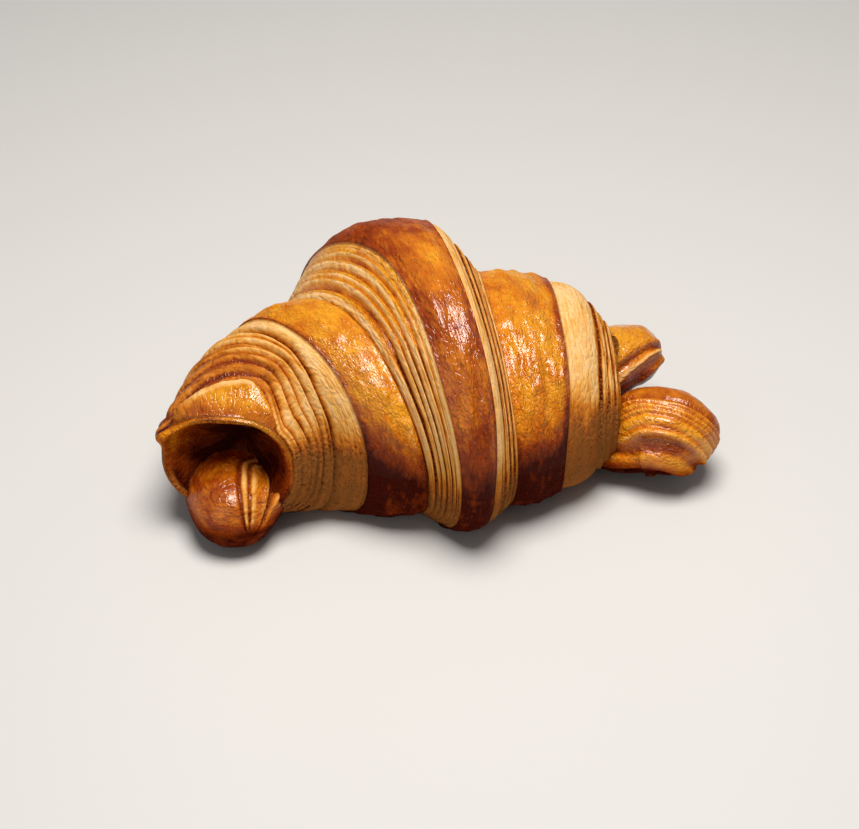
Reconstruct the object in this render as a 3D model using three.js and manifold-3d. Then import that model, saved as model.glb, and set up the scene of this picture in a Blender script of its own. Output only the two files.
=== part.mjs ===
// Croissant: a triangle of layered dough rolled up, bent into a crescent and baked.
// It lies on its flat base. +X runs from the left horn to the right one, -Y is the side
// that the horns bend to, +Z is up, and the origin is under the middle of the whole.
// Every length is in millimetres.
import * as THREE from 'three';
import { mergeVertices } from 'three/addons/utils/BufferGeometryUtils.js';
import Module from 'manifold-3d';

const wasm = await Module();
wasm.setup();

// How finely the skins are divided: columns go round them, rows go along them.
const rollColumns = 48;
const lobeColumns = 18;
const lobeRows = 11;
const tipCrowding = 1.6;     // a lobe's rows crowd towards its tip by this power
const mergeDistance = 1e-3;

// The roll before its steps: where each station lies along it, and its section there.
// "front" and "back" are half widths, "top" and "bottom" are heights over the table,
// "turn" is how far the section is swung about the vertical in degrees, "tilt" leans it.
const roll = {
  along: [-62, -46, -26, 0, 26, 40, 51],
  x: [-59, -48, -27, 0, 26, 40, 48.5],
  y: [-19, -7, -2, 0, -1, -2.2, -4],
  turn: [68, 40, 18, 6, -4, -8, -8],
  tilt: [0.35, 0.17, 0, 0, 0, 0, 0],
  front: [17, 23.5, 32, 38, 34, 29, 20],
  back: [19.5, 28, 33, 36, 32, 27, 18],
  top: [41, 47, 51, 51, 49, 45, 35],
  bottom: [9, 0, -2, -2, -2, -0.5, 5],
};
const waistShare = 0.44;     // height of the widest part, as a share of the section
const upperRoundness = 2.05; // exponents of the superellipse above and below the waist
const lowerRoundness = 2.5;
const tableHeight = 0;       // the base is flat where the roll would sink lower than this

// The wound layers end in edges that run round the roll. Each edge is given along the roll
// at eight angles 45 degrees apart: front, front top, top, back top, back, back under, under, front under.
const edge = {
  bandLeft: [-35.6, -37, -38.2, -38, -38.5, -40, -38, -35],
  crownLeft: [-9.5, -10.5, -10.6, -17.3, -21, -20, -15, -10.5],
  crownRight: [2, 4.6, 4.2, 6, 10, 12, 6, 2],
  bandRight: [31.5, 33.4, 33, 33, 35, 37, 36, 32],
};
// The crown is the outermost turn. It stands this far over the bands, and falls to them
// over cut faces of these widths.
const crownHeight = [9, 13, 17.2, 16.8, 14, 8, 4, 6];
const leftFaceWidth = [7, 8.7, 11.2, 9.5, 8, 9, 6, 5.5];
const rightFaceWidth = [12, 9, 9.8, 10.6, 9, 8, 8, 10.5];
const leftFaceFall = 1;      // a face falls evenly at 1, and later the higher this is
const rightFaceFall = 1.3;
const shoulderDrop = [1.4, 2, 3.4, 4.2, 3.6, 2, 1, 1]; // the crown's crust rolls over at its left edge
const brinkDrop = 1.6;       // and a little less at its right edge,
const shoulderShare = 0.35;  // each over this share of its width
const crustSwell = 1.2;      // each crust band bulges between its edges
const crustLip = 0.6;        // and stands this far over the cut layers beside it
const crustSteps = [0, 0.1, 0.35, 0.65, 0.9, 1]; // rows across a crust, as shares of its width

// Cut faces show the ends of the layers as ridges: how many, how deep the grooves between them
// are, and the share of the face that the one beside the crust takes, at the same eight angles.
const layers = {
  left: { count: 8, depth: 1.4, first: [0.34, 0.35, 0.2, 0.17, 0.17, 0.17, 0.2, 0.28] },
  crownLeft: { count: 8, depth: 1.1, first: [0.14] },
  crownRight: { count: 4, depth: 0.6, first: [0.42] },
  right: { count: 4, depth: 0.5, first: [0.6] },
};
const layerWander = 0.22;    // unevenness of the ridges' widths, as a share of one ridge
const layerBeat = 2.4;       // and how fast it changes from one ridge to the next
const ridge = { crest: 0.3, brow: 0.8, sag: 0.15 }; // shares of a ridge's width, and of the groove's depth

// Each end of the roll turns in over a rounded rim to a hollow, from which the horn comes out.
const leftHollow = { rim: 3.6, depth: 12, shares: [1, 0.94, 0.85, 0.74, 0.62, 0.4, 0] };
const rightHollow = { rim: 0.8, depth: 6, shares: [1, 0.93, 0.82, 0.68, 0.42, 0] };
const rimShare = 0.625;      // the rim's curl takes this share of the way in

// The upper rim of the left end reaches out over its horn as a hood, with a beak at its back
// corner. Angles are in degrees round the roll, and the hood fades out over "fade" of the roll.
const hood = { at: 95, backSpread: 60, frontSpread: 76, reach: 6, droop: 3, fade: 10 };
const beak = { at: 155, spread: 12, reach: 3.5, lift: 2.8 };

// What comes out of the ends: the left horn, and the right horn, which is split in two.
// Each is a path with a radius at each of its points. "flatness" is its height as a share
// of its width, and "pleats" are the folds that run along it.
const lobes = [
  {
    path: [[-53, -6, 9], [-59.5, -14.5, 9.5], [-59.5, -23, 9.5], [-57.5, -34, 7.5]],
    radii: [11, 12.4, 12.4, 9],
    flatness: 0.84,
    pleats: { count: 5, depth: 0.035, from: 0.9 },
  },
  {
    path: [[42, -10, 10], [48.5, -15.5, 9.5], [56, -18, 12.5], [62.5, -22, 12.7], [68.5, -24.5, 5]],
    radii: [9, 9.4, 12.6, 11.5, 8.5],
    flatness: 1,
    pleats: { count: 6, depth: 0.04, from: 0.2 },
  },
  {
    path: [[42, 1, 18], [50, 3, 22], [58, 4.5, 22], [65.5, 4.5, 21.5]],
    radii: [8, 9, 8.4, 8],
    flatness: 1,
    pleats: { count: 5, depth: 0.05, from: 0.5 },
  },
];

const fullTurn = 2 * Math.PI;

// A smooth curve through values given at rising places.
function smoothThrough(places, values, place) {
  const last = places.length - 2;
  let index = 0;
  while (index < last && place > places[index + 1]) {
    index += 1;
  }
  const slope = (k) => (values[k + 1] - values[k]) / (places[k + 1] - places[k]);
  const startSlope = index > 0 ? (slope(index - 1) + slope(index)) / 2 : slope(index);
  const endSlope = index < last ? (slope(index) + slope(index + 1)) / 2 : slope(index);
  const span = places[index + 1] - places[index];
  const t = THREE.MathUtils.clamp((place - places[index]) / span, 0, 1);
  const cube = t * t * t;
  const square = t * t;
  return (2 * cube - 3 * square + 1) * values[index]
    + (cube - 2 * square + t) * span * startSlope
    + (3 * square - 2 * cube) * values[index + 1]
    + (cube - square) * span * endSlope;
}

// A smooth closed curve through values at equal angles round the roll.
function roundRoll(values, angle) {
  const place = angle / fullTurn * values.length;
  const index = Math.floor(place);
  const t = place - index;
  const at = (k) => values[(index + k + values.length) % values.length];
  const [before, start, end, after] = [at(-1), at(0), at(1), at(2)];
  return 0.5 * (2 * start + (end - before) * t
    + (2 * before - 5 * start + 4 * end - after) * t * t
    + (3 * start - before - 3 * end + after) * t * t * t);
}

function signedPower(value, roundness) {
  return Math.sign(value) * Math.abs(value) ** (2 / roundness);
}

function bell(value, middle, spread) {
  return Math.exp(-(((value - middle) / spread) ** 2));
}

// How far the hood stands out past the left end's plain rim, how far it hangs down, and how
// far its beak is lifted out of the section.
function hoodShape(along, angle, share) {
  const degrees = (THREE.MathUtils.radToDeg(angle) + 90) % 360 - 90;
  const nearRim = Math.max(0, 1 - (along - roll.along[0]) / hood.fade) ** 2 * share ** 4;
  const arch = bell(degrees, hood.at, degrees < hood.at ? hood.frontSpread : hood.backSpread);
  const point = bell(degrees, beak.at, beak.spread);
  return {
    reach: nearRim * (hood.reach * arch + beak.reach * point),
    droop: nearRim * hood.droop * arch,
    beakLift: nearRim * beak.lift * point,
  };
}

// The point of the roll at a place along it and an angle round it. "lift" moves it out of
// the section, "share" shrinks the section and "push" moves the section along its own axis.
function rollPoint(along, angle, lift, share, push) {
  const here = (key) => smoothThrough(roll.along, roll[key], along);
  const sine = Math.sin(angle);
  const cosine = Math.cos(angle);
  const roundness = sine > 0 ? upperRoundness : lowerRoundness;
  const waist = here('bottom') + waistShare * (here('top') - here('bottom'));
  const depth = -signedPower(cosine, roundness) * here(cosine > 0 ? 'front' : 'back');
  const rise = signedPower(sine, roundness) * (sine > 0 ? here('top') - waist : waist - here('bottom'));
  const turn = THREE.MathUtils.degToRad(here('turn'));
  const { reach, droop, beakLift } = hoodShape(along, angle, share);
  const grown = share * (1 + (lift + beakLift) / Math.hypot(depth, rise));
  const forward = here('tilt') * rise * grown + push - reach;
  return new THREE.Vector3(
    here('x') - Math.sin(turn) * depth * grown + Math.cos(turn) * forward,
    here('y') + Math.cos(turn) * depth * grown + Math.sin(turn) * forward,
    Math.max(waist + rise * grown - droop, tableHeight),
  );
}

// Where a layer of a cut face begins at an angle, as a share of the face's width from the crust.
function layerStart({ count, first }, layer, angle) {
  if (layer === 0) {
    return 0;
  }
  const wander = layer > 1 && layer < count ? layerWander * Math.sin(layerBeat * (layer - 1)) : 0;
  const firstShare = roundRoll(first, angle);
  return firstShare + (1 - firstShare) * (layer - 1 + wander) / (count - 1);
}

// Rows across a cut face: the share of its width at an angle, and the depth under the crests.
function layerRows(face) {
  const rows = [];
  for (let layer = 0; layer < face.count; layer += 1) {
    const shareAt = (part) => (angle) => {
      const start = layerStart(face, layer, angle);
      return start + part * (layerStart(face, layer + 1, angle) - start);
    };
    rows.push({ shareAt: shareAt(0), dip: layer > 0 ? face.depth : 0 });
    rows.push({ shareAt: shareAt(ridge.crest), dip: 0 });
    rows.push({ shareAt: shareAt(ridge.brow), dip: ridge.sag * face.depth });
  }
  return rows;
}

// Rows of the roll's skin, from the left hollow to the right one. A row says, for an angle,
// how far along the roll it lies and how far it is lifted out of the section.
function rollRows() {
  const leftEnd = () => roll.along[0];
  const rightEnd = () => roll.along.at(-1);
  const rows = [];
  const addRow = (along, lift, share = 1, push = 0) => rows.push({ along, lift, share, push });
  const at = (name) => (angle) => roundRoll(edge[name], angle);
  const height = (angle) => roundRoll(crownHeight, angle);
  const leftDrop = (angle) => roundRoll(shoulderDrop, angle);
  const rightDrop = () => brinkDrop;
  const leftFoot = (angle) => at('crownLeft')(angle) - roundRoll(leftFaceWidth, angle);
  const rightFoot = (angle) => at('crownRight')(angle) + roundRoll(rightFaceWidth, angle);
  const rollOver = (share) => Math.max(0, 1 - share / shoulderShare) ** 2;

  const addHollow = (hollow, end, side) => {
    const steps = hollow.shares.map((share, step) => {
      const t = step / (hollow.shares.length - 1);
      const outward = hollow.rim * Math.sin(Math.PI * Math.min(1, t / rimShare)) - hollow.depth * t * t;
      return [share, side * outward];
    });
    const ordered = side < 0 ? steps.reverse() : steps;
    ordered.forEach(([share, push]) => addRow(end, () => 0, share, push));
  };
  const addCrust = (start, end, lift) => {
    crustSteps.forEach((share) => {
      addRow((angle) => start(angle) + (end(angle) - start(angle)) * share, (angle) => lift(angle, share));
    });
  };
  const addLayers = (crust, far, face, lift) => {
    const faceRows = layerRows(face).map(({ shareAt, dip }) => ({
      along: (angle) => crust(angle) + (far(angle) - crust(angle)) * shareAt(angle),
      lift: (angle) => lift(angle, shareAt(angle)) - dip,
    }));
    const ordered = far === leftEnd || far === leftFoot ? faceRows.reverse() : faceRows;
    ordered.forEach((row) => addRow(row.along, row.lift));
  };
  const bandLift = (angle, share) => crustLip + crustSwell * 4 * share * (1 - share);
  const crownLift = (angle, share) => (
    height(angle) - leftDrop(angle) * rollOver(share) - rightDrop() * rollOver(1 - share)
  );
  const faceLift = (drop, fall) => (angle, share) => (
    (height(angle) - drop(angle) - crustLip) * (1 - share ** fall)
  );

  addHollow(leftHollow, leftEnd, -1);
  addLayers(at('bandLeft'), leftEnd, layers.left, () => 0);
  addCrust(at('bandLeft'), leftFoot, bandLift);
  addLayers(at('crownLeft'), leftFoot, layers.crownLeft, faceLift(leftDrop, leftFaceFall));
  addCrust(at('crownLeft'), at('crownRight'), crownLift);
  addLayers(at('crownRight'), rightFoot, layers.crownRight, faceLift(rightDrop, rightFaceFall));
  addCrust(rightFoot, at('bandRight'), bandLift);
  addLayers(at('bandRight'), rightEnd, layers.right, () => 0);
  addHollow(rightHollow, rightEnd, 1);
  return rows;
}

// A closed skin made from a sphere, whose rows and columns of vertices are moved to new places.
function closedSkin(rowCount, columnCount, pointAt) {
  const skin = new THREE.SphereGeometry(1, columnCount, rowCount - 1);
  const position = skin.attributes.position;
  for (let row = 0; row < rowCount; row += 1) {
    for (let column = 0; column <= columnCount; column += 1) {
      const point = pointAt(row, fullTurn * (column % columnCount) / columnCount);
      position.setXYZ(row * (columnCount + 1) + column, point.x, point.y, point.z);
    }
  }
  skin.deleteAttribute('normal');
  skin.deleteAttribute('uv');
  return mergeVertices(skin, mergeDistance);
}

function rollSkin() {
  const rows = rollRows();
  return closedSkin(rows.length, rollColumns, (row, angle) => {
    const { along, lift, share, push } = rows[row];
    return rollPoint(along(angle), angle, lift(angle), share, push);
  });
}

// A lobe: round sections along a path, closed by a rounded tip at its far end.
function lobeSkin({ path, radii, flatness, pleats }) {
  const points = path.map((point) => new THREE.Vector3(...point));
  const curve = new THREE.CatmullRomCurve3(points, false, 'centripetal');
  const stations = radii.map((radius, index) => index / (radii.length - 1));
  const tipShare = radii.at(-1) / curve.getLength();
  const frames = [];
  for (let row = 0; row <= lobeRows; row += 1) {
    const t = 1 - (1 - row / lobeRows) ** tipCrowding;
    const tangent = curve.getTangentAt(t);
    const side = new THREE.Vector3(0, 0, 1).cross(tangent).normalize();
    const intoTip = THREE.MathUtils.clamp((t - 1 + tipShare) / tipShare, 0, 1);
    const closing = row === 0 ? 0 : Math.sqrt(1 - intoTip * intoTip);
    frames.push({
      centre: curve.getPointAt(t),
      side,
      up: new THREE.Vector3().crossVectors(tangent, side),
      radius: closing * smoothThrough(stations, radii, t),
    });
  }
  return closedSkin(frames.length, lobeColumns, (row, angle) => {
    const { centre, side, up, radius } = frames[row];
    const folded = radius * (1 + pleats.depth * Math.cos(pleats.count * (angle - pleats.from)));
    const point = centre.clone()
      .addScaledVector(side, -Math.cos(angle) * folded)
      .addScaledVector(up, Math.sin(angle) * folded * flatness);
    point.z = Math.max(point.z, tableHeight);
    return point;
  });
}

function toSolid(geometry) {
  return new wasm.Manifold(new wasm.Mesh({
    numProp: 3,
    vertProperties: Float32Array.from(geometry.attributes.position.array),
    triVerts: Uint32Array.from(geometry.index.array),
  }));
}

function toGeometry(solid) {
  const { vertProperties, triVerts } = solid.getMesh();
  const geometry = new THREE.BufferGeometry();
  geometry.setAttribute('position', new THREE.BufferAttribute(vertProperties, 3));
  geometry.setIndex(new THREE.BufferAttribute(triVerts, 1));
  return geometry;
}

// The whole croissant as one body, moved so that its box is centred over the origin.
function croissantGeometry() {
  const solid = lobes.reduce((joined, lobe) => joined.add(toSolid(lobeSkin(lobe))), toSolid(rollSkin()));
  const geometry = toGeometry(solid);
  geometry.computeBoundingBox();
  const { min, max } = geometry.boundingBox;
  geometry.translate(-(min.x + max.x) / 2, -(min.y + max.y) / 2, -min.z);
  geometry.computeVertexNormals();
  return geometry;
}

const bakedDough = new THREE.MeshStandardMaterial({ color: 0xc9772b, roughness: 0.5, metalness: 0 });
const croissantMesh = new THREE.Mesh(croissantGeometry(), bakedDough);
croissantMesh.name = 'croissant';

const croissant = new THREE.Group();
croissant.add(croissantMesh);

export default croissant;
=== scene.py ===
# Croissant, dressed for the render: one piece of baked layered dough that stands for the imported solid.
# Lengths in the dictionaries are millimetres and angles round the roll are degrees,
# counted from the front (-Y) over the top. Blender's own units are metres.
import bisect
import math

import bmesh
import bpy
from mathutils import Matrix, Vector, noise


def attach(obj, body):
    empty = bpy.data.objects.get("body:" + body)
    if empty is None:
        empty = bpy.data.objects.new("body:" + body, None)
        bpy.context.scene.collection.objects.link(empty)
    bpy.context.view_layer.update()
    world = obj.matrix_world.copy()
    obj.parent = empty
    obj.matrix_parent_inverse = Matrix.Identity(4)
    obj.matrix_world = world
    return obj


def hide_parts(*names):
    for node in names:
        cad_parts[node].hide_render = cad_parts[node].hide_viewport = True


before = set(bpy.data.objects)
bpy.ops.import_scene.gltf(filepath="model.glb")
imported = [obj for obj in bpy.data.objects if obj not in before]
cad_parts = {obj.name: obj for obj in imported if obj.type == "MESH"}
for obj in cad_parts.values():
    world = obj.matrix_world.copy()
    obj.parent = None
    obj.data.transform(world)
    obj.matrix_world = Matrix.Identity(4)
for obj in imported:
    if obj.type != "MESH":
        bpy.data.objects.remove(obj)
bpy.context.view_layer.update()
mm = 0.001


# Small helpers

def clamp(value, low=0.0, high=1.0):
    return max(low, min(high, value))


def smooth(value):
    value = clamp(value)
    return value * value * (3 - 2 * value)


def rises(value, start, length):             # from 0 at the start to 1 a length further on
    return smooth((value - start) / length)


def falls(value, end, length):               # from 1 down to 0 at the end
    return smooth((end - value) / length)


def bell(value, middle, spread):
    return math.exp(-(((value - middle) / spread) ** 2))


def smoothThrough(places, values, place):
    last = len(places) - 2
    index = min(last, max(0, bisect.bisect_left(places, place) - 1))
    slopes = [(values[k + 1] - values[k]) / (places[k + 1] - places[k])
              for k in range(max(0, index - 1), min(last, index + 1) + 1)]
    here = index - max(0, index - 1)
    startSlope = (slopes[here - 1] + slopes[here]) / 2 if index > 0 else slopes[here]
    endSlope = (slopes[here] + slopes[here + 1]) / 2 if index < last else slopes[here]
    span = places[index + 1] - places[index]
    t = clamp((place - places[index]) / span)
    cube = t * t * t
    square = t * t
    return ((2 * cube - 3 * square + 1) * values[index] + (cube - 2 * square + t) * span * startSlope
            + (3 * square - 2 * cube) * values[index + 1] + (cube - square) * span * endSlope)


def roundRoll(values, degrees):
    place = degrees / 360 * len(values)
    index = math.floor(place)
    t = place - index
    before, start, end, after = (values[(index + k) % len(values)] for k in (-1, 0, 1, 2))
    return 0.5 * (2 * start + (end - before) * t + (2 * before - 5 * start + 4 * end - after) * t * t
                  + (3 * start - before - 3 * end + after) * t * t * t)


# Patterns lie on a ring round the roll: x and y go round it, z goes across, in mm

def ringPlace(degrees, across):
    radians = math.radians(degrees)
    return Vector((roll["ring"] * math.cos(radians), roll["ring"] * math.sin(radians), across))


def grain(place, around, across, seed):
    return noise.noise(Vector((place.x * around + 17.3 * seed, place.y * around - 9.1 * seed,
                               place.z * across + 4.7 * seed)))


# Camera, at the photo's angle

shot = {
    "azimuth": -11.5,    # degrees, 0 looks along +Y
    "elevation": 40.0,
    "lens": 90.0,    # mm on a 36 mm sensor
    "pixelsPerMm": 3.65,
    "aim": (2.648, -1.557, 30.0),    # this point of the croissant
    "aimPixel": (437, 368),    # lands here in the 859 x 829 frame
    "frameSize": (859, 829),
}


def makeCamera():
    print("camera")
    azimuth = math.radians(shot["azimuth"])
    elevation = math.radians(shot["elevation"])
    back = Vector((math.sin(azimuth) * math.cos(elevation), -math.cos(azimuth) * math.cos(elevation),
                   math.sin(elevation)))
    right = Vector((math.cos(azimuth), math.sin(azimuth), 0))
    up = back.cross(right)
    width, height = shot["frameSize"]
    distance = shot["lens"] / 36 * width / shot["pixelsPerMm"]
    aside = (shot["aimPixel"][0] - width / 2) / shot["pixelsPerMm"]
    above = (height / 2 - shot["aimPixel"][1]) / shot["pixelsPerMm"]
    place = Vector(shot["aim"]) + back * distance - right * aside - up * above
    data = bpy.data.cameras.new("camera")
    data.lens = shot["lens"]
    data.sensor_width = 36
    data.clip_start = 0.01
    camera = bpy.data.objects.new("camera", data)
    turn = Matrix((right, up, back)).transposed().to_4x4()
    camera.matrix_world = Matrix.Translation(place * mm) @ turn
    bpy.context.scene.collection.objects.link(camera)
    bpy.context.scene.camera = camera


# The roll: its sections and the edges of its turns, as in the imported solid

roll = {
    "along": [-62, -46, -26, 0, 26, 40, 51],
    "x": [-59, -48, -27, 0, 26, 40, 48.5],
    "y": [-19, -7, -2, 0, -1, -2.2, -4],
    "turn": [68, 40, 18, 6, -4, -8, -8],
    "tilt": [0.35, 0.17, 0, 0, 0, 0, 0],
    "front": [17, 23.5, 32, 38, 34, 29, 20],
    "back": [19.5, 28, 33, 36, 32, 27, 18],
    "top": [41, 47, 51, 51, 49, 45, 35],
    "bottom": [9, 0, -2, -2, -2, -0.5, 5],
    "waistShare": 0.44,
    "upperRoundness": 2.05,
    "lowerRoundness": 2.5,
    "centreShift": (2.648, -1.557),
    "ring": 34,    # radius of the ring that patterns lie on
    "hollowPattern": 12,    # mm of pattern across a hollow
}
edge = {
    "bandLeft": [-35.6, -37, -38.2, -38, -38.5, -40, -38, -35],
    "crownLeft": [-9.5, -10.5, -10.6, -17.3, -21, -20, -15, -10.5],
    "crownRight": [2, 4.6, 4.2, 6, 10, 12, 6, 2],
    "bandRight": [31.5, 33.4, 33, 33, 35, 37, 36, 32],
}
crown = {
    "height": [9, 13, 17.2, 16.8, 14, 8, 4, 6],
    "leftFace": [7, 8.7, 11.2, 9.5, 8, 9, 6, 5.5],
    "rightFace": [12, 9, 9.8, 10.6, 9, 8, 8, 10.5],
    "shoulderDrop": [1.4, 2, 3.4, 4.2, 3.6, 2, 1, 1],
    "brinkDrop": 1.6,
    "rounded": 0.35,    # share of the crust that rounds down to each edge
    "rightFall": 1.3,
}
crust = {
    "swell": 1.2,
    "lip": 0.6,
}
hood = {"at": 95, "backSpread": 60, "frontSpread": 76, "reach": 6, "droop": 3, "fade": 10}
beak = {"at": 155, "spread": 12, "reach": 3.5, "lift": 2.8}

# Cut faces: the share of the layer beside the crust at eight angles, the widths of those after
# it, how deep the grooves between them are as shares of the depth, the face's usual width, and
# how many rows of vertices cross it
cutFaces = {
    "left": {"first": [0.34, 0.35, 0.2, 0.17, 0.17, 0.17, 0.2, 0.28],
             "widths": [2.0, 1.5, 1.1, 1.3, 1.2], "grooves": [1.2, 1.0, 0.85, 1.0, 0.9],
             "depth": 1.7, "wander": 0.45, "width": 25, "rows": 72, "seed": 3, "lines": 1},
    "crownLeft": {"first": [0.13], "widths": [1.0, 1.6, 1.5, 1.3, 2.8],
                  "grooves": [0.6, 0.75, 1.0, 0.8, 1.3], "depth": 1.25, "wander": 0.6,
                  "width": 21, "rows": 52, "seed": 5, "lines": 1},
    "crownRight": {"first": [0.42], "widths": [1, 1.3, 0.8], "grooves": [1, 0.7, 1], "depth": 0.7,
                   "wander": 0.5, "width": 18, "rows": 26, "seed": 8, "lines": 1},
    "right": {"first": [0.6], "widths": [1.2, 0.8, 1], "grooves": [1, 0.8, 0.9], "depth": 0.45,
              "wander": 0.45, "width": 17, "rows": 34, "seed": 11, "lines": 0.6},
}
crustRows = {"bandLeft": 28, "crown": 38, "bandRight": 30}
skin = {
    "columns": 264,
    "underFrom": 215,    # the underside is seen least, so it gets fewer columns
    "underTo": 325,
    "underShare": 0.16,
}


def columnAngle(column):
    share = column / skin["columns"]
    under = skin["underTo"] - skin["underFrom"]
    if share < 1 - skin["underShare"]:
        return skin["underTo"] - 360 + (360 - under) * share / (1 - skin["underShare"])
    return skin["underFrom"] + under * (share - 1 + skin["underShare"]) / skin["underShare"]


def hoodShape(along, degrees, share):
    nearRim = max(0, 1 - (along - roll["along"][0]) / hood["fade"]) ** 2 * share ** 4
    around = (degrees + 90) % 360 - 90
    arch = bell(around, hood["at"], hood["frontSpread" if around < hood["at"] else "backSpread"])
    point = bell(around, beak["at"], beak["spread"])
    reach = nearRim * (hood["reach"] * arch + beak["reach"] * point)
    return reach, nearRim * hood["droop"] * arch, nearRim * beak["lift"] * point


def rollPoint(along, degrees, lift, share, push):
    here = {key: smoothThrough(roll["along"], roll[key], along)
            for key in ("x", "y", "turn", "tilt", "front", "back", "top", "bottom")}
    sine = math.sin(math.radians(degrees))
    cosine = math.cos(math.radians(degrees))
    roundness = 2 / (roll["upperRoundness"] if sine > 0 else roll["lowerRoundness"])
    waist = here["bottom"] + roll["waistShare"] * (here["top"] - here["bottom"])
    depth = -math.copysign(abs(cosine) ** roundness, cosine) * here["front" if cosine > 0 else "back"]
    rise = math.copysign(abs(sine) ** roundness, sine)
    rise *= here["top"] - waist if sine > 0 else waist - here["bottom"]
    turn = math.radians(here["turn"])
    reach, droop, beakLift = hoodShape(along, degrees, share)
    grown = share * (1 + (lift + beakLift) / math.hypot(depth, rise))
    forward = here["tilt"] * rise * grown + push - reach
    return Vector((
        here["x"] - math.sin(turn) * depth * grown + math.cos(turn) * forward + roll["centreShift"][0],
        here["y"] + math.cos(turn) * depth * grown + math.sin(turn) * forward + roll["centreShift"][1],
        max(waist + rise * grown - droop, 0),
    ))


# Relief of the cut layers. Edges wander round the roll, so layers widen, pinch and merge.
# Each pattern's scale is round the roll and from one layer to the next.

layerPattern = {
    "edgeScale": (0.032, 3.1), "rippleScale": (0.16, 1.7), "ripple": 0.06,
    "leastShare": 0.015,    # of the face, for the thinnest layer
    "grooveScale": (0.04, 5.3), "grooveMean": 0.95, "grooveVaries": 1.1, "grooveRange": (0.4, 1.35),
    "splitScale": (0.02, 4.1),    # a split is a thin line that parts a layer
    "splitAt": 0.58,    # share of the layer's width
    "splitVaries": 0.35, "splitDepthScale": (0.03, 2.3), "splitFrom": (-0.12, 0.3),
}


def layerEdges(face, degrees):
    pattern = layerPattern
    place = ringPlace(degrees, 0)

    def vary(scale, layer, seedStep=0):
        place.z = layer
        return grain(place, *pattern[scale], face["seed"] + seedStep)

    spot = roundRoll(face["first"], degrees)
    unit = (1 - spot) / sum(face["widths"])
    edges = [0.0]
    for layer, width in enumerate(face["widths"]):
        wander = face["wander"] * vary("edgeScale", layer) + pattern["ripple"] * vary("rippleScale", layer)
        edges.append(max(edges[-1] + pattern["leastShare"], spot + unit * wander))
        spot += unit * width
    edges.append(1.0)
    grooves = []
    for layer, share in enumerate(face["grooves"]):
        varied = pattern["grooveMean"] + pattern["grooveVaries"] * vary("grooveScale", layer, 1)
        grooves.append(face["depth"] * share * clamp(varied, *pattern["grooveRange"]))
    splits = []
    for layer in range(len(edges) - 1):
        strength = rises(vary("splitDepthScale", layer, 3), *pattern["splitFrom"]) * face["lines"]
        spot = pattern["splitAt"] + pattern["splitVaries"] * vary("splitScale", layer, 2)
        splits.append((spot, strength))
    return edges, grooves, splits


# Each layer starts low beside the one before it, rises to a pale crest and drops at its far edge.
# Places are shares of its width: where a stretch begins, and how long it is. The groove colour is
# browner dough with painted shade in it, so a shallow groove is paler than a deep one.

layerShape = {
    "low": (0.03, 0.47), "dark": (0.03, 0.26),
    "darkByDepth": 0.12,    # the dark stretch begins further in beside a deep groove
    "crestRise": (0.45, 0.2), "crestFall": (0.88, 0.1), "firstCrest": 0.6, "drop": (0.84, 0.16),
    "lastDrop": 0.3, "splitWidth": 0.09, "splitDepth": 0.45, "swell": 0.5,
    "grainScale": (0.12, 0.4), "grain": 0.08,
}
# how dark the grooves are painted: browner dough with painted shade in them
layerShade = {"start": 0.62, "low": 0.4, "drop": 0.85, "split": 0.4, "least": 0.1}


def layerRelief(face, edges, grooves, splits, share, place):
    shape = layerShape
    dark = layerShade
    last = len(edges) - 2
    layer = min(last, max(0, bisect.bisect_right(edges, share) - 1))
    local = clamp((share - edges[layer]) / max(1e-4, edges[layer + 1] - edges[layer]))
    before = grooves[layer - 1] if layer > 0 else 0
    after = grooves[layer] if layer < last else shape["lastDrop"] * grooves[-1]
    low = 1 - rises(local, *shape["low"])
    darkFrom, darkLength = shape["dark"]
    start = 1 - smooth((local - darkFrom - shape["darkByDepth"] * before / face["depth"]) / darkLength)
    crest = shape["firstCrest"]
    if layer > 0:
        crest = rises(local, *shape["crestRise"]) * (1 - rises(local, *shape["crestFall"]))
    drop = rises(local, *shape["drop"])
    spot, strength = splits[layer]
    split = strength * bell(local, spot, shape["splitWidth"])
    dip = low * before + drop * after + shape["splitDepth"] * split
    beside = min(1, before / face["depth"] + dark["least"] * (layer > 0))
    beyond = min(1, after / face["depth"] + dark["least"]) if layer < last else 1
    shade = (dark["start"] * start + dark["low"] * low) * beside
    shade += dark["drop"] * drop ** 2 * beyond + dark["split"] * split
    swell = shape["swell"] * math.sin(math.pi * local)
    swell += shape["grain"] * grain(place, *shape["grainScale"], face["seed"] + 4)
    return swell - dip, clamp(shade), crest


# Crust: wrinkles that run round the roll, creases between them, and blisters

crustPattern = {
    "foldScale": (0.085, 0.36),
    "fold": 0.7,    # mm, as the other heights here
    "creaseScale": (0.08, 0.26), "creaseWidth": 0.08, "crease": 0.45, "blisterScale": (0.26, 0.34),
    "blisterFrom": 0.05, "blister": 1.6, "broadScale": (0.05, 0.08), "broad": 0.7,
}


def crustRelief(place, wrinkles, blisters, seed):
    pattern = crustPattern
    fold = grain(place, *pattern["foldScale"], seed)
    crease = 1 - smooth(abs(grain(place, *pattern["creaseScale"], seed + 1)) / pattern["creaseWidth"])
    bubble = max(0, grain(place, *pattern["blisterScale"], seed + 2) - pattern["blisterFrom"])
    broad = grain(place, *pattern["broadScale"], seed + 3)
    return (wrinkles * (pattern["fold"] * fold - pattern["crease"] * crease)
            + blisters * pattern["blister"] * bubble + pattern["broad"] * broad)


# Rows of the skin, from the left hollow to the right one

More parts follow.
